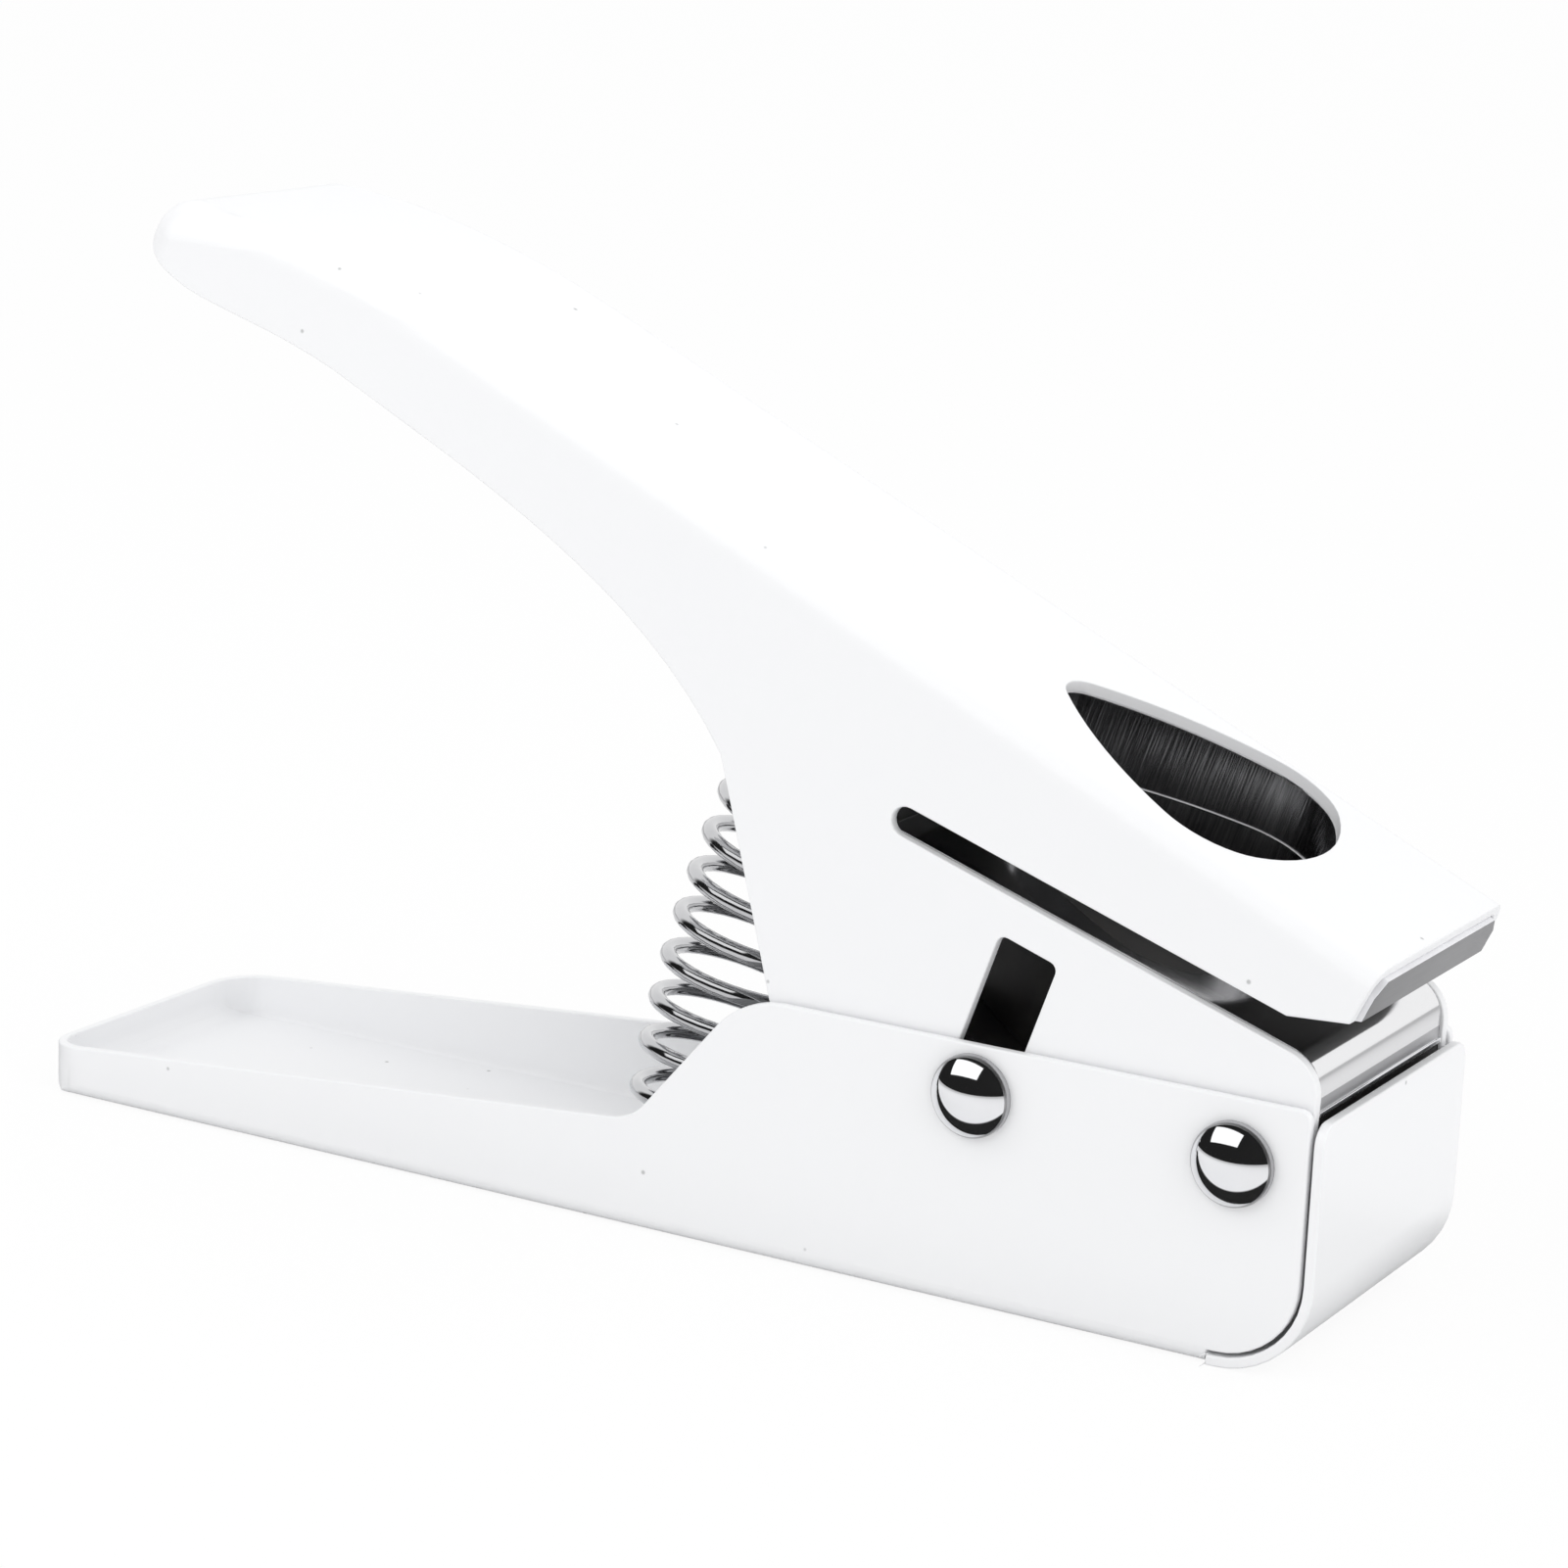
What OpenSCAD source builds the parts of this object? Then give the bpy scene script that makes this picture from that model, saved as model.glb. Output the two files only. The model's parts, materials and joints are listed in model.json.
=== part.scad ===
// Guitar pick punch: a hand lever that cuts a pick shaped blank out of a plastic card.
// Frame: +X towards the nose, +Y across, +Z up, origin under the middle of the whole punch.
// Three working frames are used. "Base" points are measured from the outer face of the front flap.
// "Lever" points are measured from the pivot pin, along and square to the flat top of the handle.
// "Jaw" points are measured from the pivot pin, along and square to the card slot.

/* [Base] */
// Length from the rear wall to the outer face of the front flap
base_l = 141; // [128:1:175]
// Outer width of the base
base_w = 33.6; // [33:0.2:41]
// Sheet thickness of the base
base_t = 1.0; // [0.8:0.1:1.3]
// Height of the side walls beside the pins
wall_h = 25; // [24:0.5:31]
// Height of the front flap
flap_h = 23.9; // [20:0.1:26]
// Height of the tray wall at its rear end
tray_rear_h = 5; // [3.5:0.1:8]
// Height of the tray wall at the foot of the rise
tray_front_h = 10.9; // [9:0.1:13]
// Distance from the flap back to the corner where the rise meets the wall's top
rise_back = 58.4; // [50:0.1:64]
// Slope of the rise between the tray wall and the high wall
rise_angle = 50.5; // [35:0.5:65]
// Radius at the top of the rise
rise_top_r = 9; // [4:0.5:12]
// Radius at the foot of the rise
rise_foot_r = 5; // [2:0.5:8]
// Outside radius of the bend between the floor and the flap
flap_bend_r = 9; // [5:0.5:11]
// Gap between the side walls' front edges and the flap
flap_gap = 0.4; // [0.2:0.05:0.8]
// Outside radius of the bend along each side of the floor
floor_bend_r = 1.6; // [1.4:0.1:3]
// Outside radius of the bend between the floor and the rear wall
rear_bend_r = 3.4; // [2:0.1:3.4]
// Radius of the rear corners, seen from above
rear_corner_r = 5; // [3:0.5:9]

/* [Pins] */
// Distance from the flap back to the pivot pin
pivot_back = 8.3; // [8:0.1:10]
// Height of the pivot pin
pivot_h = 19.1; // [18:0.1:20]
// Distance from the pivot pin back to the punch pin
pin_back = 25.8; // [24:0.1:28]
// Height of the punch pin above the pivot pin
pin_rise = 1.2; // [0:0.1:2.4]
// Diameter of the pivot pin
pivot_pin_d = 5; // [4:0.1:6]
// Diameter of the punch pin
punch_pin_d = 4.8; // [4:0.1:5]
// Diameter of the domed pin heads
dome_d = 7.8; // [7:0.1:9.5]
// Height of the domed pin heads
dome_h = 2.5; // [2:0.1:3]
// Height of the upright rim round those heads
dome_rim_h = 0.7; // [0.2:0.1:0.9]
// Depth of the socket in each pressed-on cap
cap_socket = 1.0; // [0.6:0.1:1.2]

/* [Handle] */
// Slope of the handle's top at rest
rest_angle = 24.75; // [20:0.25:26]
// Angle through which the handle is pressed
press_angle = 24; // [15:1:24]
// Sheet thickness of the handle
handle_t = 1.2; // [1.1:0.1:1.6]
// Height of the flat top above the pivot pin, square to the top
top_h = 22; // [21.5:0.1:25]
// Distance from the pivot pin forward to the nose, along the top
nose_l = 2.55; // [1:0.05:4]
// Distance from the pivot pin back to the rear end, along the top
handle_l = 140; // [128:0.5:160]
// Length of the drooping rear end
droop_l = 35.5; // [20:0.5:45]
// Radius of the drooping rear end
droop_r = 115; // [95:5:160]
// Outside radius of the bends along the top's edges
top_bend_r = 2.6; // [2:0.1:4]
// Radius of the handle's rear corners, seen from above
handle_corner_r = 4.5; // [3:0.5:7]
// Radius over the handle's rear end, seen from the side
rear_end_r = 4.8; // [3:0.1:5]
// Depth of the handle's rear end
rear_depth = 4.55; // [4.2:0.05:6]
// Depth of the bead below the rear end's lower edge
bead_drop = 1.4; // [0.5:0.1:2]
// Distance from the rear end to the bead's lowest point
bead_in = 7.5; // [7:0.1:10]
// Distance from the rear end to the crest of the grip's curve
grip_in = 26; // [20:0.5:32]
// Height of that crest above the rear end's lower edge
grip_rise = 0.4; // [0:0.1:1.5]
// Distance from the pivot pin back to the corner between the grip and the cheek
cheek_back = 61; // [56:0.5:66]
// Height of that corner above the pivot pin
cheek_rise = 2.8; // [0:0.1:5]
// Slope of the cheek's rear edge
cheek_slope = 49.7; // [45:0.1:60]
// Depth of the cheeks below the pivot pin
cheek_drop = 16.6; // [12:0.1:16.8]
// Distance from the pivot pin back to the cheek's lower front corner
cheek_toe = 4; // [2:0.1:8]

/* [Jaws] */
// Angle between the card slot and the handle's top
slot_angle = 6.4; // [4:0.1:8]
// Height of the slot's lower face above the pivot pin, square to the slot
slot_rise = 11.23; // [10.5:0.01:12]
// Height of the card slot
slot_h = 2.8; // [2:0.1:3.2]
// Distance from the pivot pin back to the end of the card slot
slot_back = 42.2; // [40:0.1:43]
// Radius of the lower jaw's front corner
jaw_corner_r = 4; // [2:0.1:4.5]
// Distance from the pivot pin back to the start of the upper jaw's lead-in
lead_in_back = 1.15; // [0:0.05:2.8]
// Slope of the upper jaw's lead-in
lead_in_angle = 28; // [15:1:33]
// Distance that the die's front face stands out in front of the nose
die_proud = 0.5; // [0.2:0.1:0.5]
// Depth of the guide plate's front behind the lower jaw's front
guide_recess = 0.4; // [0.2:0.05:0.6]
// Length of the lip under the guide plate's front
lip_l = 2.4; // [1.5:0.1:4]
// Depth of that lip
lip_drop = 2.4; // [1:0.1:2.5]
// Thickness of the die plate and of the guide plate
plate_t = 3.2; // [2.5:0.1:3.4]
// Distance from the pivot pin back to the rear end of the plates
plate_back = 48; // [47.5:0.1:49]
// Length of the pick, from its tip to its round end
pick_l = 27.6; // [26:0.1:30]
// Width of the pick
pick_w = 24.7; // [20:0.1:25]
// Radius of the pick's tip
pick_tip_r = 3.2; // [2:0.1:4]
// Radius of the pick's sides
pick_side_r = 40; // [34:1:60]
// Radius of the pick's two shoulders
pick_shoulder_r = 7; // [6:0.1:8]
// Radius of the pick's round end
pick_end_r = 17; // [15:0.5:20]
// Distance from the pivot pin back to the middle of the pick
pick_back = 22.4; // [21:0.1:24]
// Width of the slot in each cheek that the punch pin runs in
pin_slot_w = 6.2; // [6.1:0.1:6.6]
// Room above the punch pin in that slot when the handle is pressed
over_travel = 1.4; // [0.5:0.1:1.5]

/* [Punch] */
// Depth of the punch's face below the card slot at rest
punch_sunk = 0.7; // [0.4:0.1:1.5]
// Height of the holder above the punch pin
holder_up = 3.5; // [3.2:0.1:3.6]
// Height of the holder below the punch pin
holder_down = 4.6; // [4:0.1:6]
// Length of the holder
holder_l = 20; // [18:0.5:22]
// Thread diameter of the two punch screws
punch_screw_d = 3; // [2.5:0.5:3]
// Distance between the two punch screws
punch_screw_gap = 14; // [13.5:0.1:14.5]
// Thread diameter of the two die screws
die_screw_d = 2.5; // [2:0.5:2.5]
// Distance between the two die screws
die_screw_gap = 21.4; // [20:0.1:22]
// Distance from the plates' rear end to the die screws
die_screw_inset = 2.6; // [2.3:0.1:2.8]

/* [Spring] */
// Outside diameter of the return spring
spring_od = 19.4; // [16:0.1:19.8]
// Wire diameter of the return spring
wire_d = 1.5; // [1.2:0.1:1.6]
// Number of curls, with the two closer end curls
curls = 15; // [10:1:15]
// Pitch of the closer end curls
end_pitch = 2.4; // [2.3:0.1:3]
// Turn of the first curl about the spring's axis
spring_phase = 230; // [0:5:360]
// Distance from the pivot pin back to the spring's seat on the floor
seat_back = 60.7; // [58:0.1:64]
// Distance from the pivot pin back to the spring's cup, along the top
cup_back = 56.8; // [56.5:0.1:60]
// Thickness of the seat's and the cup's rim
seat_t = 0.8; // [0.6:0.1:1.2]
// Height of the boss that holds each end of the spring
boss_h = 3; // [2:0.5:4]

/* [Clearances] */
// Gap between each cheek and the base wall
side_gap = 0.3; // [0.25:0.05:0.5]
// Gap between the lower jaw and the front flap
jaw_gap = 0.45; // [0.35:0.05:0.8]
// Radial clearance of the pivot pin in its bushes
running_clear = 0.05; // [0.03:0.01:0.08]
// Radial clearance of pieces that are pressed or screwed together
seat_clear = 0.02; // [0.02:0.01:0.04]
// Gap between the plates and the cheeks
plate_clear = 0.1; // [0.05:0.05:0.2]
// Clearance round the punch in the die plate and the guide plate
die_clear = 0.15; // [0.12:0.01:0.2]
// Clearance round the punch in the outlet above the die plate
outlet_clear = 0.4; // [0.3:0.05:0.6]
// Gap between the punch holder and the cheeks
holder_clear = 0.4; // [0.3:0.05:0.8]
// Clearance of the punch pin in the holder's cross slot
pin_clear = 0.2; // [0.15:0.01:0.25]
// Gap between the spring and what it rests on
spring_clear = 0.1; // [0.05:0.05:0.2]
// Gap round the spring where it passes the plates
spring_room = 1.1; // [0.8:0.1:1.2]

/* [Hidden] */
$fn = 64;
far = 60;

// Widths across the punch
base_inner_w = base_w - 2 * base_t;
handle_w = base_inner_w - 2 * side_gap;
cheek_inner_w = handle_w - 2 * handle_t;
plate_w = cheek_inner_w - 2 * plate_clear;
holder_w = cheek_inner_w - 2 * holder_clear;

// Where the pivot pin and the front flap lie in the whole punch
nose_x = nose_l * cos(rest_angle) + top_h * sin(rest_angle);
overall_l = base_l - pivot_back + nose_x;
flap_x = base_l - overall_l / 2;
pivot_x = flap_x - pivot_back;
jaw_angle = rest_angle - slot_angle;

// Heights and places in the jaw frame
slot_top = slot_rise + slot_h;
die_top = slot_top + plate_t;
guide_bottom = slot_rise - plate_t;
lid_under = top_h - handle_t;
pin_reach = norm([pin_back, pin_rise]);
pin_start = atan2(pin_back * sin(jaw_angle) - pin_rise * cos(jaw_angle),
                  pin_back * cos(jaw_angle) + pin_rise * sin(jaw_angle));
pin_rest = -pin_reach * [cos(pin_start), sin(pin_start)];
pin_sway = pin_reach + pin_rest[0];
pin_mid = pin_rest[0] - pin_sway / 2;
punch_face = slot_rise - punch_sunk;
holder_top = pin_rest[1] + holder_up;
holder_bottom = pin_rest[1] - holder_down;
pin_pressed = pin_reach * sin(press_angle - pin_start);
pin_slot_top = pin_pressed + punch_pin_d / 2 + over_travel;
die_face_x = nose_l + die_proud;
jaw_x = pivot_back - base_t - jaw_gap;
cheek_front_r = jaw_x - side_gap;

// Socket screws: head, hexagon socket and room round the head
screw_head_ratio = 1.8;
screw_head_t = 2;
screw_head_room = 0.2;
screw_socket_ratio = 0.9;
screw_socket_t = 1.2;

// Small shape helpers
function unit(v) = v / norm(v);
function arc(c, r, a, b, n) = [for (i = [0:n]) c + r * [cos(a + (b - a) * i / n), sin(a + (b - a) * i / n)]];
function cross2(a, b) = a[0] * b[1] - a[1] * b[0];
function fillet(a, b, c, r, n = 8) =
    let (u = unit(a - b))
    let (v = unit(c - b))
    let (half = acos(u * v) / 2)
    let (mid = b + unit(u + v) * r / sin(half))
    let (start = b + u * r / tan(half) - mid)
    let (end = b + v * r / tan(half) - mid)
    let (first = atan2(start[1], start[0]))
    arc(mid, r, first, first + atan2(cross2(start, end), start * end), n);
function curve(a, b, c, d, n) = [
    for (i = [1:n])
        let (t = i / n)
        pow(1 - t, 3) * a + 3 * t * pow(1 - t, 2) * b + 3 * t * t * (1 - t) * c + pow(t, 3) * d
];
function to_lever(p) = [
    p[0] * cos(slot_angle) - p[1] * sin(slot_angle),
    p[0] * sin(slot_angle) + p[1] * cos(slot_angle)
];
function to_jaw(p) = [
    p[0] * cos(slot_angle) + p[1] * sin(slot_angle),
    p[1] * cos(slot_angle) - p[0] * sin(slot_angle)
];
function from_lever(p) = [
    p[0] * cos(rest_angle) + p[1] * sin(rest_angle),
    p[1] * cos(rest_angle) - p[0] * sin(rest_angle)
];

// Working frames
module in_base() {
    translate([flap_x, 0, 0])
        children();
}
module in_lever() {
    translate([pivot_x, 0, pivot_h])
        rotate([0, rest_angle, 0])
            children();
}
module in_jaw() {
    translate([pivot_x, 0, pivot_h])
        rotate([0, jaw_angle, 0])
            children();
}
// A side outline, drawn as [forward, up], given its width across the punch
module across(w) {
    rotate([90, 0, 0])
        linear_extrude(w, center = true)
            children();
}
// A cross section, drawn as [across, up], swept forward from one place to another
module along(from, to) {
    translate([from, 0, 0])
        rotate([90, 0, 90])
            linear_extrude(to - from)
                children();
}
module cross_bore(d, w, at = [0, 0]) {
    translate([at[0], 0, at[1]])
        rotate([90, 0, 0])
            cylinder(d = d, h = w, center = true);
}

// Base: outline of the side walls, with the rise and the rear bend
module wall_outline() {
    rear_top = [-base_l, tray_rear_h];
    top_corner = [-rise_back, wall_h];
    foot_corner = top_corner - (wall_h - tray_front_h) * [1 / tan(rise_angle), 1];
    front = -base_t - flap_gap;
    gap_r = flap_bend_r - base_t - flap_gap;
    notch_x = -flap_bend_r - 2 * flap_gap;
    front_corner = [front, wall_h];
    polygon(concat(
        [[notch_x, -far], [notch_x, base_t + flap_gap]],
        arc([-flap_bend_r, flap_bend_r], gap_r, -90, 0, 10),
        fillet([front, flap_bend_r], front_corner, top_corner, base_t, 4),
        fillet(front_corner, top_corner, foot_corner, rise_top_r),
        fillet(top_corner, foot_corner, rear_top, rise_foot_r),
        [rear_top],
        arc([rear_bend_r - base_l, rear_bend_r], rear_bend_r, 180, 270, 8),
        [[rear_bend_r - base_l, -far]]
    ));
}
// Outline of the hollow inside the tray, with the inside of the rear bend
module hollow_outline() {
    rear = base_t - base_l;
    r = rear_bend_r - base_t;
    polygon(concat(
        [[far, base_t / 2], [far, far], [rear, far]],
        arc([rear + r, base_t + r], r, 180, 270, 8),
        [[rear + r, base_t / 2]]
    ));
}
module floor_section(w, lift, r) {
    polygon(concat(
        arc([w / 2 - r, lift + r], r, -90, 0, 6),
        [[w / 2, far], [-w / 2, far]],
        arc([r - w / 2, lift + r], r, 180, 270, 6)
    ));
}
// Plan with rounded rear corners, open towards the front
module rear_plan(rear, w, r) {
    polygon(concat(
        [[far, w / 2 + r], [rear + r, w / 2 + r]],
        arc([rear + r, w / 2 - r], r, 90, 180, 8),
        arc([rear + r, r - w / 2], r, 180, 270, 8),
        [[rear + r, -w / 2 - r], [far, -w / 2 - r]]
    ));
}
module tray_walls() {
    inner_r = floor_bend_r - base_t;
    difference() {
        intersection() {
            across(base_w + far)
                wall_outline();
            along(-base_l - far, far)
                floor_section(base_w, 0, floor_bend_r);
            linear_extrude(2 * far)
                rear_plan(-base_l, base_w, rear_corner_r);
        }
        intersection() {
            across(base_w + far)
                hollow_outline();
            along(-base_l - far, far)
                floor_section(base_inner_w, base_t, inner_r);
            translate([0, 0, base_t / 2])
                linear_extrude(2 * far)
                    rear_plan(base_t - base_l, base_inner_w, rear_corner_r - base_t);
        }
    }
}
module front_flap() {
    bend = [-flap_bend_r, flap_bend_r];
    tail = -flap_bend_r - 2 * flap_gap;
    corner_r = 2 * base_t;
    intersection() {
        across(base_w)
            polygon(concat(
                [[tail, 0]],
                arc(bend, flap_bend_r, -90, 0, 10),
                [[0, flap_h], [-base_t, flap_h]],
                arc(bend, flap_bend_r - base_t, 0, -90, 10),
                [[tail, base_t]]
            ));
        along(-far, far)
            polygon(concat(
                arc([base_w / 2 - corner_r, flap_h - corner_r], corner_r, 0, 90, 5),
                arc([corner_r - base_w / 2, flap_h - corner_r], corner_r, 90, 180, 5),
                [[-base_w / 2, -far], [base_w / 2, -far]]
            ));
    }
    // The floor carries on into the flap
    translate([2 * tail, floor_bend_r - base_w / 2, 0])
        cube([-2 * tail - flap_bend_r, base_w - 2 * floor_bend_r, base_t]);
}
module base_tray() {
    color("white")
        in_base()
            difference() {
                union() {
                    tray_walls();
                    front_flap();
                }
                cross_bore(pivot_pin_d + 2 * seat_clear, base_w + far, [-pivot_back, pivot_h]);
                cross_bore(punch_pin_d + 2 * seat_clear, base_w + far,
                           [-pivot_back - pin_back, pivot_h + pin_rise]);
                translate([-pivot_back - seat_back, 0, -base_t])
                    cylinder(d = seat_rivet_d + 2 * seat_clear, h = 3 * base_t);
                translate([-pivot_back - seat_back, 0, -base_t])
                    cylinder(d = seat_rivet_head_d + 2 * seat_clear, h = base_t + seat_rivet_head_t);
            }
}

// Pins: a shank with one domed head, and a domed cap pressed on the far end
module dome() {
    crown_h = dome_h - dome_rim_h;
    ball_r = (dome_d * dome_d / 4 + crown_h * crown_h) / (2 * crown_h);
    intersection() {
        translate([0, 0, dome_h - ball_r])
            sphere(r = ball_r, $fn = 96);
        cylinder(d = dome_d, h = dome_h + 1, $fn = 96);
    }
}
module headed_pin(d) {
    rotate([90, 0, 0])
        union() {
            translate([0, 0, base_w / 2])
                dome();
            translate([0, 0, -base_w / 2 - cap_socket])
                cylinder(d = d, h = base_w + cap_socket + dome_h / 2);
        }
}
module pin_cap(d) {
    rotate([-90, 0, 0])
        translate([0, 0, base_w / 2])
            difference() {
                dome();
                translate([0, 0, -1])
                    cylinder(d = d + 2 * seat_clear, h = cap_socket + 1 + seat_clear);
            }
}
module at_pivot() {
    translate([pivot_x, 0, pivot_h])
        children();
}
module at_punch_pin() {
    translate([pivot_x - pin_back, 0, pivot_h + pin_rise])
        children();
}
module pivot_pin() {
    color("silver")
        at_pivot()
            headed_pin(pivot_pin_d);
}
module pivot_pin_cap() {
    color("silver")
        at_pivot()
            pin_cap(pivot_pin_d);
}
module punch_pin() {
    color("silver")
        at_punch_pin()
            headed_pin(punch_pin_d);
}
module punch_pin_cap() {
    color("silver")
        at_punch_pin()
            pin_cap(punch_pin_d);
}

// Handle: a folded channel, straight in front and drooping at the rear
module lever_section(w, top, r) {
    polygon(concat(
        arc([w / 2 - r, top - r], r, 0, 90, 6),
        arc([r - w / 2, top - r], r, 90, 180, 6),
        [[-w / 2, top - far], [w / 2, top - far]]
    ));
}
module lever_sweep(w, top, r) {
    droop_x = droop_l - handle_l;
    along(droop_x, far)
        lever_section(w, top, r);
    translate([droop_x, 0, top_h - droop_r])
        rotate([90, 0, 0])
            rotate([0, 0, 90])
                rotate_extrude(angle = 30, $fn = 240)
                    rotate([0, 0, -90])
                        lever_section(w, droop_r + top - top_h, r);
}
// Height of the drooping rear end's top surface at its very end
function droop_end() = top_h - droop_r + sqrt(droop_r * droop_r - droop_l * droop_l);
// Point of the upper jaw's lead-in at a distance in front of the pivot pin
function lead_in_at(x) =
    let (start = to_lever([-lead_in_back, slot_top]))
    [x, start[1] + (x - start[0]) * tan(lead_in_angle)];
// Side outline of the cheeks: nose, card slot, lower jaw, grip and rear end
module lever_outline() {
    rear = -handle_l;
    skirt = droop_end() - rear_depth;
    // The rear end's round runs on smoothly from the drooping top
    round_run = droop_l - rear_end_r;
    round_reach = droop_r - rear_end_r;
    round_mid = [rear + rear_end_r, top_h - droop_r + sqrt(pow(round_reach, 2) - pow(round_run, 2))];
    round_start = 90 + asin(round_run / round_reach);
    bead = [rear + bead_in, skirt - bead_drop];
    grip = [rear + grip_in, skirt + grip_rise];
    back = [-cheek_back, cheek_rise];
    grip_run = back[0] - grip[0];
    grip_lead = grip_run * [0.36, -0.011];
    cheek_lead = grip_run * [-0.27, 0.175];
    heel = [back[0] + (cheek_drop + cheek_rise) / tan(cheek_slope), -cheek_drop];
    toe = [-cheek_toe, -cheek_drop];
    toe_turn = -12;
    jaw_foot = cheek_front_r * [cos(rest_angle), sin(rest_angle)];
    jaw_corner = to_lever([jaw_at(slot_rise, 0), slot_rise]);
    slot_end = [slot_h / 2 - slot_back, slot_rise + slot_h / 2];
    polygon(concat(
        [[nose_l, far], [rear + 2 * rear_end_r, far]],
        arc(round_mid, rear_end_r, round_start, 180, 6),
        curve([rear, round_mid[1]], [rear, skirt], bead - [bead_in / 2, 0], bead, 6),
        curve(bead, bead + [bead_in / 2, 0], grip - [bead_in, 0], grip, 8),
        curve(grip, grip + grip_lead, back + cheek_lead, back, 16),
        fillet(back, heel, toe, handle_t, 5),
        fillet(heel, toe, cheek_front_r * [cos(toe_turn), sin(toe_turn)], cheek_toe, 6),
        arc([0, 0], cheek_front_r, toe_turn, rest_angle, 6),
        fillet(jaw_foot, jaw_corner, to_lever([-slot_back, slot_rise]), jaw_corner_r),
        [for (p = arc(slot_end, slot_h / 2, 270, 90, 10)) to_lever(p)],
        [to_lever([-lead_in_back, slot_top]), lead_in_at(nose_l)]
    ));
}
module cheek_slot() {
    r = 0.8;
    low = pin_rest[1] - punch_pin_d / 2 - side_gap;
    left = pin_mid - pin_slot_w / 2;
    right = pin_mid + pin_slot_w / 2;
    polygon(concat(
        arc([right - r, pin_slot_top - r], r, 0, 90, 4),
        arc([left + r, pin_slot_top - r], r, 90, 180, 4),
        arc([left + r, low + r], r, 180, 270, 4),
        arc([right - r, low + r], r, 270, 360, 4)
    ));
}
module handle_shell() {
    inner_r = top_bend_r - handle_t;
    color("white")
        difference() {
            in_lever()
                difference() {
                    intersection() {
                        lever_sweep(handle_w, top_h, top_bend_r);
                        across(handle_w + far)
                            lever_outline();
                        translate([0, 0, -far])
                            linear_extrude(2 * far)
                                rear_plan(-handle_l, handle_w, handle_corner_r);
                    }
                    intersection() {
                        lever_sweep(cheek_inner_w, lid_under, inner_r);
                        translate([0, 0, -far])
                            linear_extrude(2 * far)
                                rear_plan(handle_t - handle_l, cheek_inner_w, handle_corner_r - handle_t);
                    }
                    cross_bore(bush_d + 2 * seat_clear, handle_w + far);
                }
            in_jaw()
                across(handle_w + far)
                    cheek_slot();
            in_jaw()
                translate([0, 0, die_top])
                    linear_extrude(far)
                        pick_outline(outlet_clear);
        }
}

// Flanged bushes in the cheeks, and the spacer tube between them
bush_d = pivot_pin_d + 2;
bush_flange_d = bush_d + 2;
bush_flange_t = 1;
bush_proud = side_gap * 2 / 3;
module bush() {
    rotate([90, 0, 0])
        difference() {
            union() {
                translate([0, 0, cheek_inner_w / 2 - bush_flange_t])
                    cylinder(d = bush_flange_d, h = bush_flange_t);
                translate([0, 0, cheek_inner_w / 2 - bush_flange_t])
                    cylinder(d = bush_d, h = bush_flange_t + handle_t + bush_proud);
            }
            cylinder(d = pivot_pin_d + 2 * running_clear, h = far);
        }
}
module pivot_bush_near() {
    color("goldenrod")
        at_pivot()
            bush();
}
module pivot_bush_far() {
    color("goldenrod")
        at_pivot()
            mirror([0, 1, 0])
                bush();
}
module pivot_spacer() {
    spacer_w = cheek_inner_w - 2 * bush_flange_t;
    spacer_d = pivot_pin_d + 3;
    spacer_bore_d = pivot_pin_d + 6 * running_clear;
    color("gray")
        at_pivot()
            difference() {
                cross_bore(spacer_d, spacer_w);
                cross_bore(spacer_bore_d, spacer_w + 2);
            }
}

// Outline of a pick in the jaw frame, tip to the rear, grown by a clearance all round
module pick_outline(grow) {
    tip = [pick_tip_r, 0];
    end = [pick_l - pick_end_r, 0];
    rise = pick_w / 2 - pick_shoulder_r;
    shoulder = end + [sqrt(pow(pick_end_r - pick_shoulder_r, 2) - rise * rise), rise];
    from_tip = pick_side_r - pick_tip_r;
    from_shoulder = pick_side_r - pick_shoulder_r;
    span = norm(shoulder - tip);
    along_span = (pow(from_tip, 2) - pow(from_shoulder, 2) + span * span) / (2 * span);
    below_span = sqrt(pow(from_tip, 2) - along_span * along_span);
    line = unit(shoulder - tip);
    side = tip + along_span * line + below_span * [line[1], -line[0]];
    tip_turn = atan2(tip[1] - side[1], tip[0] - side[0]);
    shoulder_turn = atan2(shoulder[1] - side[1], shoulder[0] - side[0]);
    end_turn = atan2(shoulder[1] - end[1], shoulder[0] - end[0]);
    upper = concat(
        [for (i = [0:5]) arc(tip, pick_tip_r + grow, 180, tip_turn, 6)[i]],
        [for (i = [0:9]) arc(side, pick_side_r + grow, tip_turn, shoulder_turn, 10)[i]],
        [for (i = [0:8]) arc(shoulder, pick_shoulder_r + grow, shoulder_turn, end_turn, 9)[i]],
        arc(end, pick_end_r + grow, end_turn, 0, 6)
    );
    last = len(upper) - 1;
    translate([-pick_back - pick_l / 2, 0])
        polygon(concat(upper, [for (i = [last - 1:-1:1]) [upper[i][0], -upper[i][1]]]));
}

// Jaw plates: cut away at the rear where the spring passes
spring_pass = to_jaw([-cup_back, die_top]);
module jaw_block(outline_points, hole_clear) {
    in_jaw()
        difference() {
            across(plate_w)
                polygon(outline_points);
            translate([0, 0, -far])
                linear_extrude(2 * far)
                    pick_outline(hole_clear);
            spring_way();
            die_screw_places()
                translate([0, 0, -far])
                    cylinder(d = die_screw_d + 2 * running_clear, h = 2 * far);
        }
}
module spring_way() {
    translate([spring_pass[0], 0, -far])
        cylinder(r = spring_od / 2 + spring_room, h = 2 * far);
}
module die_screw_places() {
    for (side = [-1, 1])
        translate([die_screw_inset - plate_back, side * die_screw_gap / 2, 0])
            children();
}
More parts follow.
